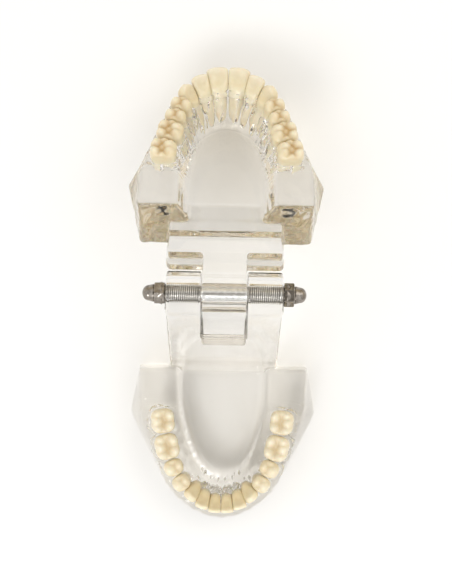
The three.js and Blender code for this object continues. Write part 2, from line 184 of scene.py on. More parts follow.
UPPER_TEETH = [
    tooth_row("central_incisor", "incisor", 8.9, 7, 10, 14.5, 24, 1.5),
    tooth_row("lateral_incisor", "incisor", 7.3, 6.2, 9, 14.5, 21, 1.2),
    tooth_row("canine", "canine", 8.4, 7.8, 9.6, 15.5, 14, 2.1),
    tooth_row("first_premolar", "premolar", 7, 9, 8.4, 12, 6, 0.1),
    tooth_row("second_premolar", "premolar", 6.8, 9, 8.2, 12, 5, -0.1),
    tooth_row("first_molar", "molar", 10.2, 11, 8, 11, 4, 0),
    tooth_row("second_molar", "molar", 9.8, 10.8, 8, 10.5, 4, 1.2),
]
LOWER_TEETH = [
    tooth_row("central_incisor", "incisor", 5.2, 5.9, 9, 11, 18, 0.6),
    tooth_row("lateral_incisor", "incisor", 5.6, 6.2, 9, 11, 16, 0.6),
    tooth_row("canine", "canine", 6.4, 7.4, 9.8, 11.5, 10, 0.4),
    tooth_row("first_premolar", "premolar", 7, 7.8, 8.6, 11, 2, 0.2),
    tooth_row("second_premolar", "premolar", 7.2, 8.4, 8.2, 11, -4, 0),
    tooth_row("first_molar", "molar", 11, 10.3, 8, 11, -7, 0),
    tooth_row("second_molar", "molar", 10.5, 10, 8, 10.5, -8, 0),
]

# How much of the arch's turn each kind of tooth follows with its lean, and with its face
FAN = {"incisor": 0.45, "canine": 0.45, "premolar": 1, "molar": 1}
TURN = {"incisor": 0.6, "canine": 0.85, "premolar": 1, "molar": 1}

# Crown sections. Heights run from -1 at the root's tip through 0 at the neck to 1 at the edge.
# Widths are shares of the tooth's width; cheek and tongue sides are shares of its depth.
CROWN_HEIGHTS = (-0.2, 0, 0.3, 0.55, 0.8, 1.0, 1.2)
CROWN = {
    "incisor": {
        "width": (0.76, 0.80, 0.90, 0.97, 1.02, 1.03, 1.02),
        "cheek": (0.42, 0.45, 0.48, 0.46, 0.4, 0.29, 0.2),
        "tongue": (-0.44, -0.46, -0.43, -0.22, -0.02, 0.08, 0.1),
        "square": 4.0,
    },
    "canine": {
        "width": (0.74, 0.78, 0.90, 0.98, 0.96, 0.76, 0.5),
        "cheek": (0.42, 0.45, 0.49, 0.48, 0.42, 0.28, 0.2),
        "tongue": (-0.45, -0.47, -0.45, -0.3, -0.1, 0.02, 0.05),
        "square": 2.3,
    },
    "premolar": {
        "width": (0.68, 0.71, 0.89, 0.97, 0.95, 0.86, 0.7),
        "cheek": (0.42, 0.44, 0.49, 0.5, 0.45, 0.36, 0.28),
        "tongue": (-0.42, -0.43, -0.47, -0.49, -0.44, -0.34, -0.28),
        "square": 2.5,
    },
    "molar": {
        "width": (0.78, 0.81, 0.93, 0.98, 0.96, 0.88, 0.8),
        "cheek": (0.42, 0.44, 0.49, 0.5, 0.46, 0.38, 0.3),
        "tongue": (-0.42, -0.44, -0.48, -0.5, -0.47, -0.39, -0.32),
        "square": 3.0,
    },
}
# Roots: foot, neck and half sizes of each, as shares of the tooth's width and depth
SINGLE_ROOT = [((0.03, -0.02), (0, 0), (0.4, 0.44))]
MOLAR_ROOTS = {
    True: [
        ((-0.2, 0.2), (-0.19, 0.2), (0.19, 0.2)),
        ((0.2, 0.2), (0.19, 0.19), (0.18, 0.18)),
        ((0, -0.24), (0, -0.22), (0.25, 0.2)),
    ],
    False: [
        ((-0.21, 0), (-0.21, 0), (0.17, 0.38)),
        ((0.22, 0), (0.21, 0), (0.16, 0.36)),
    ],
}
# How far the biting edge stands from the root's axis, as a share of depth
EDGE_SHIFT = {"incisor": 0.19, "canine": 0.14, "premolar": 0.0, "molar": 0.0}

# Cusp tips: (place along the row as a share of width, place across as a share of depth, height)
CUSPS = {
    ("premolar", True): [(0.0, 0.3, 0.0), (-0.04, -0.25, -0.55)],
    ("premolar", False): [(-0.02, 0.2, 0.0), (0.02, -0.28, -0.9)],
    ("molar", True): [
        (-0.25, 0.33, 0.0), (0.23, 0.32, -0.15), (-0.14, -0.2, -0.35), (0.16, -0.24, -0.75),
    ],
    ("molar", False): [
        (-0.3, 0.28, -0.1), (0.03, 0.31, 0.0), (0.33, 0.22, -0.4), (-0.24, -0.31, -0.05),
        (0.22, -0.31, -0.1),
    ],
}
# Ridges at the near and far end of a back tooth, and across the middle of an upper molar
MARGIN_PLACE = {"premolar": 0.37, "molar": 0.4}
MARGIN_HEIGHTS = (-1.15, -1.25)
OBLIQUE_RIDGE = (0.02, 0.02, -1.35)
CUSP_SLOPE = {"premolar": 0.95, "molar": 1.0}

# Ivory colours from the root's neck, 0, to the biting edge, 1. The roots, below the neck, take the
# palest stop: painted light against the shade in their sockets.
PALE_IVORY = [
    (0.0, (0.92, 0.86, 0.70)), (0.15, (0.83, 0.77, 0.58)), (0.4, (0.77, 0.69, 0.49)),
    (0.8, (0.77, 0.70, 0.53)), (1.0, (0.82, 0.77, 0.63)),
]
DEEP_IVORY = [
    (0.0, (0.92, 0.85, 0.68)), (0.15, (0.81, 0.71, 0.49)), (0.4, (0.76, 0.64, 0.40)),
    (0.8, (0.77, 0.66, 0.43)), (1.0, (0.84, 0.77, 0.58)),
]
# How far each kind of tooth goes from pale to deep ivory, for upper and lower teeth
WARMTH = {
    ("incisor", True): 0.1, ("incisor", False): 0.9,
    ("canine", True): 0.5, ("canine", False): 0.8,
    ("premolar", True): 0.5, ("premolar", False): 0.35,
    ("molar", True): 0.45, ("molar", False): 0.15,
}
# How dark the fissures get, brown stain deepened with painted shade, for upper and lower teeth
STAIN_AND_SHADE = {True: 0.85, False: 0.38}

# Camera: metres above and behind the hinge, the point it looks at beside the hinge, and its lens
CAMERA_HEIGHT = 0.4238
CAMERA_BACK = 0.0081
CAMERA_AIM = (0.0006, 0.0008, 0)
CAMERA_ROLL = math.radians(1.0)
FOCAL_LENGTH = 67.9
SENSOR_WIDTH = 36


# Fields: negative inside, positive outside, in millimetres

def smooth_union(a, b, blend):
    """Both shapes together, with a fillet of about the blend's size where they meet."""
    mix = np.clip(0.5 + 0.5 * (b - a) / blend, 0, 1)
    return b * (1 - mix) + a * mix - blend * mix * (1 - mix)


def smooth_common(a, b, blend):
    """What two shapes share."""
    return -smooth_union(-a, -b, blend)


def smooth_cut(a, b, blend):
    """The first shape without the second."""
    return -smooth_union(-a, b, blend)


def polygon_distance(points, across, along):
    """Signed distance to a closed outline, over a grid of two coordinates."""
    nearest = np.full(np.broadcast(across, along).shape, 1e9, dtype=np.float32)
    inside = np.zeros(nearest.shape, dtype=bool)
    count = len(points)
    for i in range(count):
        ax, ay = points[i]
        bx, by = points[(i + 1) % count]
        ex, ey = bx - ax, by - ay
        share = np.clip(((across - ax) * ex + (along - ay) * ey) / (ex * ex + ey * ey + 1e-9), 0, 1)
        gap = (across - ax - ex * share) ** 2 + (along - ay - ey * share) ** 2
        nearest = np.minimum(nearest, gap)
        crosses = (ay > along) != (by > along)
        if abs(by - ay) > 1e-9:
            inside ^= crosses & (across < ex * (along - ay) / ey + ax)
    return np.where(inside, -1, 1) * np.sqrt(nearest)


def cubic(p0, p1, p2, p3, count):
    """Points of a Bezier curve."""
    result = []
    for i in range(count + 1):
        t = i / count
        s = 1 - t
        weights = (s ** 3, 3 * s * s * t, 3 * s * t * t, t ** 3)
        result.append(tuple(sum(w * p[axis] for w, p in zip(weights, (p0, p1, p2, p3)))
                            for axis in (0, 1)))
    return result


def rounded(points, radius, steps=5):
    """The closed outline with each corner replaced by a short curve."""
    result = []
    count = len(points)
    for i in range(count):
        here = Vector(points[i])
        before = Vector(points[i - 1]) - here
        after = Vector(points[(i + 1) % count]) - here
        reach = min(radius, before.length * 0.45, after.length * 0.45)
        start = here + before.normalized() * reach
        end = here + after.normalized() * reach
        for step in range(steps + 1):
            t = step / steps
            point = start * (1 - t) ** 2 + here * 2 * t * (1 - t) + end * t * t
            result.append(tuple(point))
    return result


def mirrored(half):
    """A whole outline from its right half, which ends on the middle line."""
    return half + [(-x, y) for x, y in reversed(half[:-1])]


def outer_outline(shape):
    """Plan of a jaw's outer wall: rear corner, widest place, slant, and a round front."""
    wide, slant, front = shape["wide"], shape["slant"], shape["front"]
    along = (slant[0] - wide[0], slant[1] - wide[1])
    curve = cubic(
        slant,
        (slant[0] + 0.33 * along[0], slant[1] + 0.33 * along[1]),
        (slant[0] * 0.42, front),
        (0, front),
        16,
    )
    return rounded(mirrored([shape["corner"], wide] + curve), 1.4)


def inner_outline(shape):
    """Plan of the hollow between the two sides of a jaw, open at the back."""
    side, front = shape["side"], shape["front"]
    curve = cubic(side, (side[0] * 0.86, side[1] + 16), (side[0] * 0.58, front), (0, front), 16)
    return mirrored([shape["back"]] + curve)


# Placing teeth on the arches

def arch_at(arch, angle):
    """A point of the arch, a half ellipse made a little squarer by a power below 1."""
    return Vector((arch["half_width"] * math.sin(angle) ** arch["power"],
                   arch["centre"] + arch["depth"] * math.cos(angle) ** arch["power"]))


def arch_point(arch, distance):
    """Point of the arch at a distance along it from the front, and the direction out of it."""
    stride = math.pi / 800
    angle = 0.0
    travelled = 0.0
    before = arch_at(arch, 0)
    place = before
    while travelled < distance:
        angle += stride
        before = place
        place = arch_at(arch, angle)
        travelled += (place - before).length
    outward = Vector((before.y - place.y, place.x - before.x))
    return place, outward.normalized()


def tooth_matrix(tooth, arch, distance, side, bite):
    """Tooth frame in its jaw: x towards the back of the row, y outwards, z up through the edge."""
    place, outward = arch_point(arch, distance)
    lean = math.radians(tooth["lean"])
    lean_to = Vector((outward.x * FAN[tooth["kind"]], outward.y)).normalized()
    up = Vector((side * lean_to.x * math.sin(lean), lean_to.y * math.sin(lean), math.cos(lean)))
    out = Vector((side * outward.x * TURN[tooth["kind"]], outward.y, 0))
    out = (out - up * out.dot(up)).normalized()
    back = out.cross(up) * side
    place = place + outward * tooth["out"]
    matrix = Matrix((back, out, up)).transposed().to_4x4()
    matrix.translation = Vector((side * place.x, place.y, bite))
    return matrix


def placed_teeth(jaw, teeth, jaw_name, right_sign):
    """Every tooth of a jaw with its place. right_sign is the sign of x on the jaw's right side."""
    result = []
    for side_name, side in (("right", right_sign), ("left", -right_sign)):
        distance = 0.0
        for tooth in teeth:
            middle = distance + tooth["width"] / 2
            matrix = tooth_matrix(tooth, jaw["arch"], middle, side, jaw["bite"])
            distance += tooth["width"]
            name = f"{jaw_name}_{side_name}_{tooth['name']}"
            result.append({"name": name, "tooth": tooth, "matrix": matrix, "upper": jaw is UPPER})
    return result


# Tooth shapes

def crown_profile(height, values):
    """A crown's size at each height, with the corners of the curve rounded off."""
    reach = 0.07
    return sum(np.interp(height + shift, CROWN_HEIGHTS, values) for shift in (-reach, 0, reach)) / 3


def section_field(x, y, half_width, cheek, tongue, square):
    """A rounded section between the cheek side and the tongue side, squarer for larger powers."""
    middle = (cheek + tongue) / 2
    half_depth = np.maximum((cheek - tongue) / 2, 0.05)
    half_width = np.maximum(half_width, 0.05)
    across = np.abs(x / half_width) ** square + np.abs((y - middle) / half_depth) ** square
    return (across ** (1 / square) - 1) * np.minimum(half_width, half_depth)


def bell(offset, reach):
    """1 at no offset, falling smoothly to nearly 0 at twice the reach."""
    return np.exp(-(offset / reach) ** 2)


def root_field(x, y, height, tooth, foot, neck, half):
    """One tapering root. neck and foot are its centres at the neck and at its tip."""
    share = np.clip(-height, 0, 1)
    taper = np.maximum(1 - share ** 2.2, 0) ** 0.7
    middle_x = neck[0] + (foot[0] - neck[0]) * share
    middle_y = neck[1] + (foot[1] - neck[1]) * share
    half_x = half[0] * taper + 0.02
    half_y = half[1] * taper + 0.02
    across = np.sqrt(((x - middle_x) / half_x) ** 2 + ((y - middle_y) / half_y) ** 2)
    side = (across - 1) * np.minimum(half_x, half_y)
    ends = np.maximum(-height - 1, height - 0.15) * tooth["root"]
    return np.maximum(side, ends)


def root_shapes(tooth, upper):
    """Foot, neck and half sizes of each root of a tooth, in millimetres from the root's axis."""
    width, depth = tooth["width"], tooth["depth"]
    shares = MOLAR_ROOTS[upper] if tooth["kind"] == "molar" else SINGLE_ROOT
    return [[(across * width, out * depth) for across, out in root] for root in shares]


def incisor_edge(x, width):
    """A nearly straight edge with rounded corners, the far one more, and three faint lobes."""
    scale = width / 8.9
    reach = x / scale
    corner = 0.0018 * reach ** 4 + 0.01 * np.maximum(reach - 0.4, 0) ** 3
    return -corner * scale + 0.06 * np.cos(12.6 * x / width)


def canine_edge(x):
    """One blunt point, falling more steeply on the far side."""
    return -0.52 * (np.sqrt(x ** 2 + 0.5) - 0.7) - 0.05 * np.maximum(x, 0) ** 2


def crown_bumps(kind, upper):
    """Cusps, then the ridges at both ends and, on upper molars, the ridge across the middle."""
    margin = MARGIN_PLACE[kind]
    near, far = MARGIN_HEIGHTS
    bumps = CUSPS[(kind, upper)] + [(-margin, 0.0, near), (margin, 0.0, far)]
    if kind == "molar" and upper:
        bumps.append(OBLIQUE_RIDGE)
    return bumps


def biting_surface(x, y, tooth, upper):
    """Height of the biting surface over the crown."""
    kind, width, depth = tooth["kind"], tooth["width"], tooth["depth"]
    if kind == "incisor":
        return incisor_edge(x, width)
    if kind == "canine":
        return canine_edge(x)
    surface = None
    for place_x, place_y, tip in crown_bumps(kind, upper):
        reach = np.sqrt((x - place_x * width) ** 2 + (y - place_y * depth) ** 2 + 1.2) - 1.1
        cone = tip - CUSP_SLOPE[kind] * reach
        surface = cone if surface is None else smooth_common(surface, cone, 0.6)
    return surface


def tooth_field(tooth, upper, x, y, z):
    """The whole tooth about its own frame, whose origin is at the biting edge."""
    kind, width, depth = tooth["kind"], tooth["width"], tooth["depth"]
    crown = CROWN[kind]
    y = y + EDGE_SHIFT[kind] * depth
    above_neck = z + tooth["crown"]
    height = np.where(above_neck > 0, above_neck / tooth["crown"], above_neck / tooth["root"])
    half_width = (crown_profile(height, crown["width"]) * width - TOOTH_GAP) / 2
    if upper and tooth["name"] == "central_incisor":
        half_width = half_width + MIDLINE_CONTACT * (x < 0)
    cheek = crown_profile(height, crown["cheek"]) * depth
    tongue = crown_profile(height, crown["tongue"]) * depth
    upright = np.clip(height, 0, 1)
    if kind in ("incisor", "canine"):
        hollow = bell(upright - 0.6, 0.22) * bell(x, 0.27 * width)
        ridge = bell(upright - 0.25, 0.15) * bell(x, 0.2 * width)
        tongue = tongue + hollow * (0.75 if upper else 0.35) - ridge * 0.35
    if kind == "molar":
        groove = bell(x, 0.1 * width) * np.clip(upright * 1.4 - 0.2, 0, 1)
        cheek = cheek - groove * 0.45
        tongue = tongue + groove * (0.1 if upper else 0.4)
    body = section_field(x, y, half_width, cheek, tongue, crown["square"])
    body = np.maximum(body, (-0.12 - height) * tooth["root"])
    top = z - biting_surface(x, y, tooth, upper)
    solid = smooth_common(body, top * 0.85, 0.9 if kind in ("premolar", "molar") else 0.7)
    for foot, neck, half in root_shapes(tooth, upper):
        solid = smooth_union(solid, root_field(x, y, height, tooth, foot, neck, half), 0.9)
    return solid


# Meshing

def grid_axes(low, high, step):
    """Evenly spaced places along x, y and z that cover the box from low to high."""
    return [np.arange(low[i], high[i] + step, step, dtype=np.float32) for i in range(3)]


def add_object(name, data):
    obj = bpy.data.objects.new(name, data)
    bpy.context.scene.collection.objects.link(obj)
    return obj


def field_mesh(name, field, low, step, matrix):
    """Meshes the zero surface of a field. matrix takes its millimetres to row metres."""
    grid = vdb.FloatGrid(4.0)
    grid.copyFromArray(np.ascontiguousarray(field, dtype=np.float32))
    points, quads = grid.convertToQuads(0.0)
    points = points * step + np.array(low)
    place = np.array(matrix)
    points = points @ place[:3, :3].T + place[:3, 3]
    a, b, c = (points[quads[:, i]] for i in range(3))
    d = points[quads[:, 3]]
    volume = np.einsum("ij,ij->i", a, np.cross(b, c) + np.cross(c, d)).sum()
    if volume < 0:
        quads = quads[:, ::-1]
    mesh = bpy.data.meshes.new(name)
    mesh.vertices.add(len(points))
    mesh.vertices.foreach_set("co", points.astype(np.float32).ravel())
    mesh.loops.add(quads.size)
    mesh.loops.foreach_set("vertex_index", quads.astype(np.int32).ravel())
    mesh.polygons.add(len(quads))
    mesh.polygons.foreach_set("loop_start", np.arange(0, quads.size, 4, dtype=np.int32))
    mesh.update()
    mesh.validate()
    mesh.polygons.foreach_set("use_smooth", np.ones(len(mesh.polygons), dtype=bool))
    return add_object(name, mesh)


def jaw_to_row(upper):
    """Takes a jaw's millimetres to the row frame, in metres, at the open rest pose."""
    turn = Matrix.Rotation(-OPEN_TILT, 4, "X") if upper else Matrix.Rotation(math.pi, 4, "Z")
    return Matrix.Translation(HINGE) @ turn @ Matrix.Scale(MM, 4)


def fit(piece, body, node, material):
    """Puts a finished piece on its body in place of its CAD node."""
    piece.data.materials.append(material)
    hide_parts(node)
    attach(piece, body)


def add_paint(obj, name, values):
    """Stores one number per vertex for a material to read."""
    attribute = obj.data.attributes.new(name, "FLOAT", "POINT")
    attribute.data.foreach_set("value", np.asarray(values, dtype=np.float32))


def points_in(obj, place):
    """The object's points in the frame that place takes to the row frame."""
    spots = np.empty(len(obj.data.vertices) * 3, dtype=np.float32)
    obj.data.vertices.foreach_get("co", spots)
    back = np.array(place.inverted())
    return spots.reshape(-1, 3) @ back[:3, :3].T + back[:3, 3]


def make_tooth(entry, material):
    """Meshes one tooth in its place, in a grid that leaves room all round it."""
    tooth = entry["tooth"]
    room = 0.8
    half_x = tooth["width"] / 2 + room
    half_y = tooth["depth"] * 0.8 + room
    low = (-half_x, -half_y - 0.5, -tooth["crown"] - tooth["root"] - room)
    high = (half_x, half_y, 1.0)
    axes = grid_axes(low, high, TOOTH_STEP)
    x, y, z = np.meshgrid(*axes, indexing="ij", sparse=True)
    field = tooth_field(tooth, entry["upper"], x, y, z)
    place = jaw_to_row(entry["upper"]) @ entry["matrix"]
    obj = field_mesh(entry["name"] + "_tooth", field, low, TOOTH_STEP, place)
    paint_tooth(obj, entry, place)
    fit(obj, entry["name"], entry["name"], material)


def fissure_stain_and_shade(local, tooth, upper):
    """How dark each point of a back tooth is, from 0 to 1: brown stain with painted shade in its
    creases and its middle bowl.
    """
    x, y, z = local.T
    near = 0.9
    here = biting_surface(x, y, tooth, upper)
    around = [biting_surface(x + dx, y + dy, tooth, upper)
              for dx, dy in ((near, 0), (-near, 0), (0, near), (0, -near))]
    crease = np.clip((sum(around) / 4 - here) * 1.6, 0, 1)
    bowl = np.clip((-here - 0.6) / 1.3, 0, 1)
    centre = 0.08 * tooth["depth"] if upper else 0.0
    away = np.hypot(x / (0.42 * tooth["width"]), (y - centre) / (0.34 * tooth["depth"]))
    middle = np.clip(1.4 - away, 0, 1)
    on_top = np.clip(z + 3.8, 0, 1)
    # Brown stain plus painted shade, darkest in the creases and the middle bowl
    return np.clip(0.3 * crease + 0.9 * bowl * middle, 0, 1) * on_top * STAIN_AND_SHADE[upper]


def paint_tooth(obj, entry, place):
    """Height up the tooth, its tint of ivory and the depth of the fissures, for the enamel's colour
    and the painted shade in its fissures.
    """
    tooth, upper = entry["tooth"], entry["upper"]
    local = points_in(obj, place)
    fissure = np.zeros(len(local))
    if tooth["kind"] in ("premolar", "molar"):
        fissure = fissure_stain_and_shade(local, tooth, upper)
    add_paint(obj, "rise", (local[:, 2] + tooth["crown"]) / tooth["crown"])
    add_paint(obj, "warmth", np.full(len(local), WARMTH[(tooth["kind"], upper)]))
    add_paint(obj, "fissure", fissure)


# Jaws

def loft(grid, bottom_shape, top_shape, share, outline):
    """Distance to walls that go from one outline to another as share goes from 0 to 1."""
    x, u, _ = grid
    bottom = polygon_distance(outline(bottom_shape), x[:, :, 0], u[:, :, 0])[:, :, None]
    top = polygon_distance(outline(top_shape), x[:, :, 0], u[:, :, 0])[:, :, None]
    return bottom + (top - bottom) * share


def jaw_block(grid, jaw):
    """Base and gum ridge, hollowed between the two sides of the arch."""
    _, u, w = grid
    crest = jaw["bite"] - GUM_BELOW_BITE
    share = np.clip((w - jaw["bottom"]) / (crest - jaw["bottom"]), 0, 1.2)
    outer = loft(grid, jaw["outer_bottom"], jaw["outer_top"], share, outer_outline)
    solid = smooth_common(outer, w - crest + 0.15, 2.4)
    solid = smooth_common(solid, jaw["bottom"] - w, 0.9)
    inner_share = np.clip((w - jaw["floor"]) / (crest - jaw["floor"]), 0, 1.2)
    inner = loft(grid, jaw["inner_bottom"], jaw["inner_top"], inner_share, inner_outline)
    floor = jaw["floor"]
    if jaw is UPPER:
        floor = floor - PALATE_SLOPE * np.maximum(PALATE_START - u, 0)
    hollow = smooth_common(inner, floor - w, 3.0)
    return smooth_cut(solid, hollow, 1.8)


def local_box(axes, low, high):
    """Slices of a grid that cover a box, and the coordinates inside it."""
    cuts = []
    for axis in range(3):
        first = int(np.searchsorted(axes[axis], low[axis]))
        last = int(np.searchsorted(axes[axis], high[axis]))
        cuts.append(slice(max(first - 1, 0), min(last + 1, len(axes[axis]))))
    parts = [axes[axis][cuts[axis]] for axis in range(3)]
    return tuple(cuts), np.meshgrid(*parts, indexing="ij")


def tooth_corners(entry, spread):
    """Box of the space round one tooth, in its jaw's frame."""
    tooth = entry["tooth"]
    half_x = tooth["width"] / 2 + spread
    half_y = tooth["depth"] * 0.75 + spread
    corners = [entry["matrix"] @ Vector((sx * half_x, sy * half_y, z))
               for sx in (-1, 1) for sy in (-1, 1)
               for z in (-tooth["crown"] - tooth["root"] - spread, 1.0)]
    low = [min(c[i] for c in corners) for i in range(3)]
    high = [max(c[i] for c in corners) for i in range(3)]
    return low, high


def in_tooth_frame(entry, points):
    """Coordinates in the tooth's own frame, from coordinates in its jaw's frame."""
    back = np.array(entry["matrix"].inverted())
    return [back[i, 0] * points[0] + back[i, 1] * points[1] + back[i, 2] * points[2] + back[i, 3]
            for i in range(3)]


def add_gum_collars(field, axes, teeth):
    """Gum that rises round each neck and bulges over each root."""
    for entry in teeth:
        tooth = entry["tooth"]
        low, high = tooth_corners(entry, 4.0)
        cuts, points = local_box(axes, low, high)
        x, y, z = in_tooth_frame(entry, points)
        below_bulge = np.minimum(z, -0.72 * tooth["crown"])
        shell = tooth_field(tooth, entry["upper"], x, y, below_bulge) - COLLAR_THICKNESS
        between = np.clip(np.abs(x) / (0.5 * tooth["width"]), 0, 1) ** 2
        margin = -tooth["crown"] + 0.6 + 0.9 * between
        collar = smooth_common(shell, z - margin, 0.9)
        collar = smooth_common(collar, -tooth["crown"] - 0.75 * tooth["root"] - z, 3.0)
        field[cuts] = smooth_union(field[cuts], collar, 1.6)
    return field


def cut_sockets(field, axes, teeth):
    """A socket for each tooth, a little larger than the tooth all round."""
    for entry in teeth:
        tooth = entry["tooth"]
        low, high = tooth_corners(entry, 1.5)
        cuts, points = local_box(axes, low, high)
        x, y, z = in_tooth_frame(entry, points)
        tooth_space = tooth_field(tooth, entry["upper"], x, y, z) - SOCKET_GAP
        field[cuts] = smooth_cut(field[cuts], tooth_space, 0.25)
    return field


def knuckle(grid, half):
    """The round barrel about the hinge axis, out to half on both sides."""
    x, u, w = grid
    return smooth_common(np.hypot(u, w) - KNUCKLE_RADIUS, np.abs(x) - half, 0.8)


def side_slab(grid, outline, half_width, edge):
    """A slab across the whole arm with the given side view."""
    x, u, w = grid
    side_view = polygon_distance(outline, u[0], w[0, 0][None, :])[None, :, :]
    return smooth_common(side_view, np.abs(x) - half_width, edge)


def lower_arm(grid):
    """The sloping arm with its two knuckles and heels; the notch between them leaves a web."""
    arm = side_slab(grid, rounded(LOWER_ARM_FRONT + LOWER_ARM_REAR, 3.0), ARM_HALF_WIDTH, 1.0)
    arm = smooth_union(arm, knuckle(grid, ARM_HALF_WIDTH), 2.0)
    heel = side_slab(grid, rounded(KNUCKLE_HEEL, 1.0), ARM_HALF_WIDTH, 1.0)
    arm = smooth_union(arm, heel, 0.5)
    notch = side_slab(grid, rounded(LOWER_NOTCH, 2.0), NOTCH_HALF, 1.4)
    return smooth_cut(arm, notch, 0.4)


def plate_notches(x, u):
    """The spaces beside the centre knuckle; the plate's far corners are left rounded."""
    notch = smooth_common(CENTRE_KNUCKLE_HALF - np.abs(x), u - UPPER_NOTCH_REACH, 1.2)
    corner_x = np.maximum(np.abs(x) - (PLATE_BOTTOM_HALF - PLATE_CORNER), 0)
    corner_u = np.maximum(UPPER_NOTCH_REACH + PLATE_CORNER - u, 0)
    outside_corner = PLATE_CORNER - np.hypot(corner_x, corner_u)
    return np.minimum(notch, np.where((corner_x > 0) & (corner_u > 0), outside_corner, 4.0))


def upper_arm(grid):
    """The flat plate with its low step, cut away on both sides of the centre knuckle."""
    x, u, w = grid
    down = np.clip((UPPER_PLATE_TOP - w) / (UPPER_PLATE_TOP - UPPER_PLATE_BOTTOM), 0, 1)
    half_width = ARM_HALF_WIDTH + (PLATE_BOTTOM_HALF - ARM_HALF_WIDTH) * down
    arm = side_slab(grid, rounded(UPPER_ARM, 0.9, 3), half_width, 1.0)
    arm = smooth_cut(arm, plate_notches(x, u), 0.7)
    return smooth_union(arm, knuckle(grid, CENTRE_KNUCKLE_HALF), 2.0)


def casting_waves(grid):
    """Slow unevenness of the upper jaw's hand-cut side blocks, in millimetres."""
    x, u, w = grid
    height = WAVE_HEIGHT * np.clip((np.abs(x) - 20) / 3, 0, 1) * np.clip((52 - u) / 8, 0, 1)
    return height * (
        np.sin(0.9 * x + 0.5 * u + 1.1)
        + np.sin(0.7 * u - 1.1 * w + 0.4 * x)
        + np.sin(1.3 * w + 0.6 * u)
        + 0.7 * np.sin(1.6 * x - 0.8 * w + 2.0)
    )


def gum_flutes(grid, jaw):
    """Fine flutes fanning out over the gum ridge, in millimetres, where it follows the roots."""
    x, u, w = grid
    turn = np.arctan2(x, u - jaw["arch"]["centre"])
    below_crest = jaw["bite"] - GUM_BELOW_BITE - w
    band = np.clip((8 - below_crest) / 3, 0, 1) * np.clip((u - 42) / 5, 0, 1)
    rows = np.sin(52 * turn + 0.25 * u + 0.6) + 0.8 * np.sin(83 * turn - 0.4 * w + 2.1)
    return FLUTE_HEIGHT * band * rows


def wetting(points, teeth):
    """Where the resin clings to the roots: 1 in streaks down each socket, 0 across its air gaps."""
    wet = np.zeros(len(points), dtype=np.float32)
    for index, entry in enumerate(teeth):
        low, high = tooth_corners(entry, 1.5)
        near = np.all((points > np.array(low)) & (points < np.array(high)), axis=1)
        x, y, z = in_tooth_frame(entry, points[near].T)
        tooth = entry["tooth"]
        on_wall = np.abs(tooth_field(tooth, entry["upper"], x, y, z) - SOCKET_GAP) < 0.2
        below = z < -0.5 * tooth["crown"]
        turn = np.arctan2(y, x)
        streak = np.sin(5 * turn + 1.7 * index + 0.5 * np.sin(0.6 * z))
        streak += 0.6 * np.sin(9 * turn + 2.9 * index + 0.25 * z)
        is_lower_front = tooth["kind"] in ("incisor", "canine") and not entry["upper"]
        bias = LOWER_FRONT_BIAS if is_lower_front else WETTED_BIAS
        share = np.clip(0.5 + 0.8 * (streak + bias), 0, 1)
        wet[near] = np.where(on_wall & below, share, wet[near])
    return wet


def jaw_field(axes, jaw, teeth):
    """One whole casting: block, gum collars, arm, hinge bore, unevenness and sockets."""
    upper = jaw is UPPER
    grid = np.meshgrid(*axes, indexing="ij", sparse=True)
    _, u, w = grid
    plan = np.meshgrid(axes[0], axes[1], indexing="ij")
    field = jaw_block((plan[0][:, :, None], plan[1][:, :, None], w), jaw).astype(np.float32)
    field = add_gum_collars(field, axes, teeth)
    arm = upper_arm(grid) if upper else lower_arm(grid)
    field = smooth_union(field, arm, 0.8)
    if not upper:
        # The lower jaw stands on the table, so nothing may bulge below its base
        field = np.maximum(field, jaw["bottom"] - w)
    bore = RUNNING_BORE if upper else THREAD_ROOT
    field = smooth_cut(field, np.hypot(u, w) - bore, 0.3)
    field = field + gum_flutes(grid, jaw)
    if upper:
        field = field + casting_waves(grid)
    return cut_sockets(field, axes, teeth)


def make_jaw(jaw_name, jaw, teeth, low, high, material):
    """Meshes a jaw inside the box from low to high, and paints where it clings and is sanded."""
    field = jaw_field(grid_axes(low, high, JAW_STEP), jaw, teeth)
    place = jaw_to_row(jaw is UPPER)
    obj = field_mesh(jaw_name + "_clear_jaw", field, low, JAW_STEP, place)
    points = points_in(obj, place)
    add_paint(obj, "wet", wetting(points, teeth))
    if jaw is LOWER:
        above_base = points[:, 2] - jaw["bottom"]
        add_paint(obj, "sanded", np.clip((0.6 - above_base) / 0.3, 0, 1))
    body = jaw_name + "_jaw"
    fit(obj, body, body, material)


# Hinge hardware

def circle_points(along, radii):
    """Points round the hinge axis at one place along it, with a radius for each."""
    turn = 2 * math.pi / len(radii)
    return [(along, radius * math.cos(side * turn), radius * math.sin(side * turn))
            for side, radius in enumerate(radii)]


def faces_between(ring_count, sides):
    """Quads that join each ring of points to the next."""
    faces = []
    for ring in range(ring_count - 1):
        for side in range(sides):
            after = (side + 1) % sides
            faces.append((ring * sides + side, (ring + 1) * sides + side,
                          (ring + 1) * sides + after, ring * sides + after))
    return faces


def welded_object(name, points, faces, place):
    """A smooth object with points in one spot joined and its faces turned outwards."""
    mesh = bpy.data.meshes.new(name)
    mesh.from_pydata([place @ Vector(point) for point in points], [], faces)
    mesh.polygons.foreach_set("use_smooth", [True] * len(mesh.polygons))
    work = bmesh.new()
    work.from_mesh(mesh)
    bmesh.ops.remove_doubles(work, verts=work.verts, dist=1e-7)
    bmesh.ops.recalc_face_normals(work, faces=work.faces)
    work.to_mesh(mesh)
    work.free()
    return add_object(name, mesh)


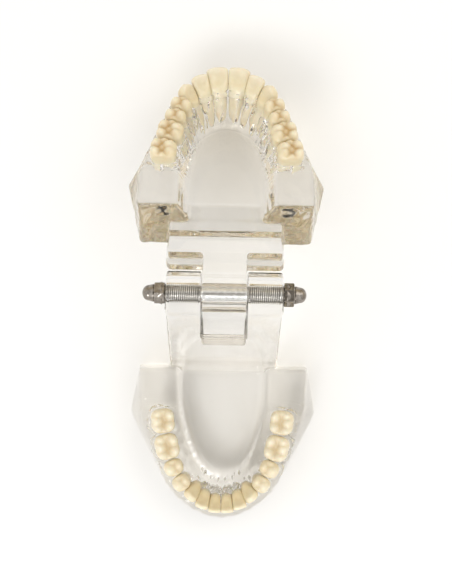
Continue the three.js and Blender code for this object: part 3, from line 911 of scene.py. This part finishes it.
def stud_radius(along, turns):
    """Radius of the stud where its thread has made this many turns."""
    steps = len(THREAD_PROFILE)
    phase = turns % 1 * steps
    step = int(phase)
    share = phase - step
    lift = THREAD_PROFILE[step % steps] * (1 - share) + THREAD_PROFILE[(step + 1) % steps] * share
    threaded = min(max((abs(along) - SMOOTH_HALF) / THREAD_RUN_OUT, 0), 1)
    radius = THREAD_CREST - (THREAD_CREST - THREAD_ROOT) * (1 - lift) * threaded
    chamfer = THREAD_ROOT + (STUD_HALF_LENGTH - abs(along)) * 0.8
    return min(radius, chamfer)


def make_stud(place, material):
    """A rod with a smooth middle and a helical ridge on both ends, closed with a chamfer."""
    steps = len(THREAD_PROFILE)
    slices = int(2 * STUD_HALF_LENGTH / STUD_PITCH * steps)
    points = []
    for row in range(slices + 1):
        along = -STUD_HALF_LENGTH + 2 * STUD_HALF_LENGTH * row / slices
        radii = [stud_radius(along, row / steps + side / STUD_SIDES) for side in range(STUD_SIDES)]
        points += circle_points(along, radii)
    faces = faces_between(slices + 1, STUD_SIDES)
    faces.append(tuple(range(STUD_SIDES)))
    faces.append(tuple(slices * STUD_SIDES + side for side in reversed(range(STUD_SIDES))))
    stud = welded_object("hinge_stud_rod", points, faces, place)
    spots = points_in(stud, place)
    depth = STUD_RADIUS - np.hypot(spots[:, 1], spots[:, 2])
    in_groove = np.clip(depth / (STUD_RADIUS - THREAD_ROOT), 0, 1)
    # Depth in the thread, where grime and painted shade darken the steel
    add_paint(stud, "groove", in_groove * (np.abs(spots[:, 0]) > SMOOTH_HALF))
    fit(stud, "lower_jaw", "hinge_stud", material)


def make_washer(side_name, side, material):
    """A flat ring about the hinge axis, with small bevels on its edges."""
    end = WASHER_HALF_THICKNESS
    flat = end - WASHER_BEVEL
    outer, inner = WASHER_RADIUS, WASHER_BORE_RADIUS
    section = [
        (-flat, outer), (flat, outer), (end, outer - WASHER_BEVEL), (end, inner + WASHER_BEVEL),
        (flat, inner), (-flat, inner), (-end, inner + WASHER_BEVEL), (-end, outer - WASHER_BEVEL),
        (-flat, outer),
    ]
    points = []
    for along, radius in section:
        points += circle_points(along, [radius] * WASHER_SIDES)
    faces = faces_between(len(section), WASHER_SIDES)
    place = jaw_to_row(False) @ Matrix.Translation((side * WASHER_CENTRE, 0, 0))
    washer = welded_object(side_name + "_flat_washer", points, faces, place)
    fit(washer, "lower_jaw", side_name + "_washer", material)


def hexagon_field(x, y, z):
    """The nut's hexagon from 0 to its length along x, with chamfered corners at both ends."""
    cos_60, sin_60 = 0.5, 0.866
    slanting = np.maximum(np.abs(cos_60 * z + sin_60 * y), np.abs(cos_60 * z - sin_60 * y))
    hexagon = np.maximum(np.abs(z), slanting) - NUT_ACROSS_FLATS / 2
    radius = np.hypot(y, z)
    corner = NUT_ACROSS_FLATS / math.sqrt(3)
    chamfer = radius + (x - NUT_HEX_LENGTH) * NUT_CHAMFER_SLOPE - (corner - NUT_CHAMFER)
    chamfer_seat = radius - x * NUT_CHAMFER_SLOPE - (corner - NUT_SEAT_CHAMFER)
    hexagon = np.maximum(np.maximum(hexagon, chamfer * 0.5), chamfer_seat * 0.5)
    return smooth_common(hexagon, np.maximum(-x, x - NUT_HEX_LENGTH), 0.15)


def dome_field(x, radius):
    """A cone that narrows a little from the hexagon, and ends in an elliptical tip."""
    tip_start = NUT_LENGTH - NUT_TIP_LENGTH
    taper = (NUT_DOME_RADIUS - NUT_TIP_RADIUS) / (tip_start - NUT_HEX_LENGTH)
    cone = radius - NUT_DOME_RADIUS + taper * (x - NUT_HEX_LENGTH)
    tip = np.hypot(np.maximum(x - tip_start, 0) / NUT_TIP_LENGTH, radius / NUT_TIP_RADIUS) - 1
    dome = np.where(x > tip_start, tip * NUT_TIP_LENGTH, cone)
    return np.maximum(dome, 1.0 - x)


def nut_field(x, y, z):
    """A dome nut along x: hexagon, dome with a groove at its foot, and a blind bore."""
    radius = np.hypot(y, z)
    groove_x = NUT_HEX_LENGTH + 0.1
    groove = np.hypot(x - groove_x, radius - NUT_DOME_RADIUS) - NUT_GROOVE_RADIUS
    solid = smooth_union(hexagon_field(x, y, z), dome_field(x, radius), 0.12)
    solid = smooth_cut(solid, groove, 0.1)
    bore = np.maximum(radius - STUD_RADIUS - NUT_BORE_GAP, x - NUT_BORE_DEPTH)
    return smooth_cut(solid, bore, 0.2)


def make_nut(side_name, side, material):
    """A dome nut on the end of the stud, screwed up against its washer."""
    room = 0.6
    half = 5.2
    low = (-room, -half, -half)
    axes = grid_axes(low, (NUT_LENGTH + room, half, half), NUT_STEP)
    x, y, z = np.meshgrid(*axes, indexing="ij", sparse=True)
    turn = Matrix.Rotation(0 if side > 0 else math.pi, 4, "Z")
    twist = Matrix.Rotation(NUT_TWIST[side_name], 4, "X")
    place = jaw_to_row(False) @ Matrix.Translation((side * NUT_SEAT, 0, 0)) @ turn @ twist
    nut = field_mesh(side_name + "_cap_nut", nut_field(x, y, z), low, NUT_STEP, place)
    fit(nut, "lower_jaw", side_name + "_dome_nut", material)


def make_hardware(stud_metal, nut_metal):
    make_stud(jaw_to_row(False), stud_metal)
    for side_name, side in (("right", 1), ("left", -1)):
        make_washer(side_name, side, nut_metal)
        make_nut(side_name, side, nut_metal)


# Materials

def new_material(name):
    material = bpy.data.materials.new(name)
    material.use_nodes = True
    nodes = material.node_tree.nodes
    shader = next(node for node in nodes if node.type == "BSDF_PRINCIPLED")
    return material, nodes, material.node_tree.links, shader


def set_inputs(node, values):
    """Fixed numbers and colours, set on the node's own sockets."""
    for name, value in values.items():
        node.inputs[name].default_value = value


def attribute(nodes, name):
    """The number painted on the points under this name."""
    node = nodes.new("ShaderNodeAttribute")
    node.attribute_name = name
    return node.outputs["Fac"]


def noise(nodes, links, scale, detail):
    """Cloudy noise, fixed to the piece."""
    place = nodes.new("ShaderNodeTexCoord")
    clouds = nodes.new("ShaderNodeTexNoise")
    set_inputs(clouds, {"Scale": scale, "Detail": detail})
    links.new(place.outputs["Object"], clouds.inputs["Vector"])
    return clouds.outputs["Fac"]


def scaled(nodes, links, value, low, high):
    """A value from 0 to 1 taken to the range from low to high."""
    node = nodes.new("ShaderNodeMapRange")
    set_inputs(node, {"To Min": low, "To Max": high})
    links.new(value, node.inputs["Value"])
    return node.outputs["Result"]


def ramp(nodes, links, value, stops):
    """The colour at a value between stops of (place, colour)."""
    node = nodes.new("ShaderNodeValToRGB")
    elements = node.color_ramp.elements
    for element, (place, colour) in zip(elements, (stops[0], stops[-1])):
        element.position = place
        element.color = (*colour, 1)
    for place, colour in stops[1:-1]:
        elements.new(place).color = (*colour, 1)
    links.new(value, node.inputs["Fac"])
    return node.outputs["Color"]


def mixed(nodes, links, factor, a, b, blend="MIX"):
    """Two colours mixed. Each input is another node's output, or fixed."""
    node = nodes.new("ShaderNodeMix")
    node.data_type = "RGBA"
    node.blend_type = blend
    for name, value in (("Factor", factor), ("A", a), ("B", b)):
        if isinstance(value, bpy.types.NodeSocket):
            links.new(value, node.inputs[name])
        else:
            node.inputs[name].default_value = value
    return node.outputs["Result"]


def mixed_shader(nodes, links, factor, first, second):
    node = nodes.new("ShaderNodeMixShader")
    links.new(factor, node.inputs["Fac"])
    links.new(first, node.inputs[1])
    links.new(second, node.inputs[2])
    return node.outputs["Shader"]


def transparent(nodes, colour):
    node = nodes.new("ShaderNodeBsdfTransparent")
    node.inputs["Color"].default_value = (*colour, 1)
    return node.outputs["BSDF"]


def add_bump(nodes, links, shader, height, strength, distance):
    node = nodes.new("ShaderNodeBump")
    set_inputs(node, {"Strength": strength, "Distance": distance})
    links.new(height, node.inputs["Height"])
    links.new(node.outputs["Normal"], shader.inputs["Normal"])


def clear_resin():
    """Clear cast resin: yellower along long paths, faint waves on its surface, sanded below.

    Shadow rays pass straight through it. Where it clings to a root it has no surface at all.
    """
    material, nodes, links, shader = new_material("clear_resin")
    clear = {"Base Color": (0.87, 0.875, 0.885, 1), "Transmission Weight": 1.0, "IOR": 1.49}
    set_inputs(shader, clear)
    roughness = scaled(nodes, links, attribute(nodes, "sanded"), 0.02, 0.4)
    links.new(roughness, shader.inputs["Roughness"])
    add_bump(nodes, links, shader, noise(nodes, links, 55, 2), 0.12, 0.001)
    shadow = nodes.new("ShaderNodeLightPath").outputs["Is Shadow Ray"]
    see_through = transparent(nodes, (0.985, 0.975, 0.945))
    surface = mixed_shader(nodes, links, shadow, shader.outputs["BSDF"], see_through)
    contact = ramp(nodes, links, attribute(nodes, "wet"), [(0.4, (0, 0, 0)), (0.6, (1, 1, 1))])
    surface = mixed_shader(nodes, links, contact, surface, transparent(nodes, (1, 1, 1)))
    tint = nodes.new("ShaderNodeVolumeAbsorption")
    set_inputs(tint, {"Color": (0.65, 0.52, 0.28, 1), "Density": 7})
    output = next(node for node in nodes if node.type == "OUTPUT_MATERIAL")
    links.new(surface, output.inputs["Surface"])
    links.new(tint.outputs["Volume"], output.inputs["Volume"])
    return material


def tooth_ivory():
    """Cream resin enamel: paler at the root, painted light against the shade of its socket, and at
    the edge; mottled; brown stain with painted shade in the fissures.
    """
    material, nodes, links, shader = new_material("tooth_ivory")
    rise = attribute(nodes, "rise")
    # Roots take the palest stop, painted light against the shade of their sockets
    pale = ramp(nodes, links, rise, PALE_IVORY)
    deep = ramp(nodes, links, rise, DEEP_IVORY)
    tone = mixed(nodes, links, attribute(nodes, "warmth"), pale, deep)
    cloud = noise(nodes, links, 420, 4)
    patch = ramp(nodes, links, cloud, [(0.3, (0.93, 0.9, 0.84)), (0.7, (1.0, 1.0, 1.0))])
    mottled = mixed(nodes, links, 0.8, tone, patch, "MULTIPLY")
    brown = (0.52, 0.33, 0.12, 1)
    # Fissure colour: brown stain, strengthened as painted shade in the creases
    stained_and_shaded = mixed(nodes, links, attribute(nodes, "fissure"), mottled, brown)
    links.new(stained_and_shaded, shader.inputs["Base Color"])
    set_inputs(shader, {
        "Roughness": 0.28, "Coat Weight": 0.3, "Coat Roughness": 0.12,
        "Subsurface Weight": 0.25, "Subsurface Radius": (0.002, 0.0014, 0.0008),
        "Subsurface Scale": 1.0,
    })
    add_bump(nodes, links, shader, cloud, 0.1, 0.0004)
    return material


def metal(name, dark, light, roughness, scale):
    """Plated steel with handling marks, and grime with painted shade where a piece is painted with
    grooves.
    """
    material, nodes, links, shader = new_material(name)
    shader.inputs["Metallic"].default_value = 1.0
    marks = noise(nodes, links, scale, 5)
    tone = ramp(nodes, links, marks, [(0.35, dark), (0.65, light)])
    # Darker in the thread's grooves: grime and painted shade
    grime_and_shade = (0.40, 0.38, 0.35, 1)
    grimed_and_shaded = mixed(nodes, links, attribute(nodes, "groove"), tone, grime_and_shade)
    links.new(grimed_and_shaded, shader.inputs["Base Color"])
    gloss = scaled(nodes, links, marks, roughness * 0.7, roughness * 1.5)
    links.new(gloss, shader.inputs["Roughness"])
    return material


# Stage

def make_floor():
    half = 1.5
    corners = [(-half, -half, 0), (half, -half, 0), (half, half, 0), (-half, half, 0)]
    mesh = bpy.data.meshes.new("floor")
    mesh.from_pydata(corners, [], [(0, 1, 2, 3)])
    floor = add_object("floor", mesh)
    # Just below the model, so that the two surfaces don't coincide
    floor.location.z = -0.0002
    material, _, _, shader = new_material("pale_floor")
    set_inputs(shader, {"Base Color": (0.9, 0.9, 0.9, 1), "Roughness": 0.9})
    mesh.materials.append(material)


def area_light(name, place, side, power):
    """A square soft light that faces the foot of the hinge."""
    light = bpy.data.lights.new(name, "AREA")
    light.shape = "RECTANGLE"
    light.size = side
    light.size_y = side
    light.energy = power
    obj = add_object(name, light)
    obj.location = place
    aim = Vector((0, 0, 0.02))
    obj.rotation_euler = (aim - Vector(place)).to_track_quat("-Z", "Y").to_euler()


def make_lights():
    """A broad soft light from the front over a dim warm room, darkest straight above."""
    world = bpy.data.worlds.new("studio")
    bpy.context.scene.world = world
    world.use_nodes = True
    nodes, links = world.node_tree.nodes, world.node_tree.links
    direction = nodes.new("ShaderNodeTexCoord").outputs["Generated"]
    towards = nodes.new("ShaderNodeVectorMath")
    towards.operation = "DOT_PRODUCT"
    towards.inputs[1].default_value = Vector((-0.25, -0.72, 0.65)).normalized()
    links.new(direction, towards.inputs[0])
    glow = nodes.new("ShaderNodeMapRange")
    glow.inputs["From Min"].default_value = -1
    links.new(towards.outputs["Value"], glow.inputs["Value"])
    room = ramp(nodes, links, glow.outputs["Result"], [
        (0.2, (0.90, 0.79, 0.60)), (0.45, (0.93, 0.86, 0.73)), (0.62, (0.98, 0.97, 0.95)),
        (0.8, (1.0, 1.0, 1.0)),
    ])
    split = nodes.new("ShaderNodeSeparateXYZ")
    links.new(direction, split.inputs["Vector"])
    above = ramp(nodes, links, split.outputs["Z"], [(0.88, (1, 1, 1)), (0.97, (0.4, 0.38, 0.35))])
    back = nodes["Background"]
    links.new(mixed(nodes, links, 1, room, above, "MULTIPLY"), back.inputs["Color"])
    back.inputs["Strength"].default_value = 1.08
    area_light("key", (-0.25, -0.6, 0.75), 0.35, 2.4)
    area_light("fill", (0.5, 0.4, 0.8), 0.5, 1.0)


def make_camera():
    """Looks straight down on the hinge, a little from behind it."""
    camera = bpy.data.cameras.new("camera")
    camera.lens = FOCAL_LENGTH
    camera.sensor_width = SENSOR_WIDTH
    camera.clip_start = 0.01
    obj = add_object("camera", camera)
    obj.location = HINGE + Vector(CAMERA_AIM) + Vector((0, CAMERA_BACK, CAMERA_HEIGHT))
    tilt = Matrix.Rotation(-math.atan2(CAMERA_BACK, CAMERA_HEIGHT), 3, "X")
    obj.rotation_euler = (tilt @ Matrix.Rotation(CAMERA_ROLL, 3, "Z")).to_euler()
    bpy.context.scene.camera = obj


def build():
    resin = clear_resin()
    enamel = tooth_ivory()
    stud_metal = metal("stud_steel", (0.78, 0.77, 0.74), (0.96, 0.95, 0.92), 0.2, 900)
    nut_metal = metal("plated_nut", (0.20, 0.175, 0.15), (0.34, 0.31, 0.275), 0.16, 600)
    lower_teeth = placed_teeth(LOWER, LOWER_TEETH, "lower", 1)
    upper_teeth = placed_teeth(UPPER, UPPER_TEETH, "upper", -1)
    for entry in lower_teeth + upper_teeth:
        make_tooth(entry, enamel)
    make_jaw("lower", LOWER, lower_teeth, (-42, -9, -58), (42, 100, 9), resin)
    make_jaw("upper", UPPER, upper_teeth, (-43, -9, -9), (43, 98, 26), resin)
    make_hardware(stud_metal, nut_metal)
    make_floor()
    make_lights()
    make_camera()
    scene = bpy.context.scene
    scene.view_settings.view_transform = "Standard"
    scene.cycles.max_bounces = 24
    scene.cycles.transmission_bounces = 24
    scene.cycles.transparent_max_bounces = 24


build()
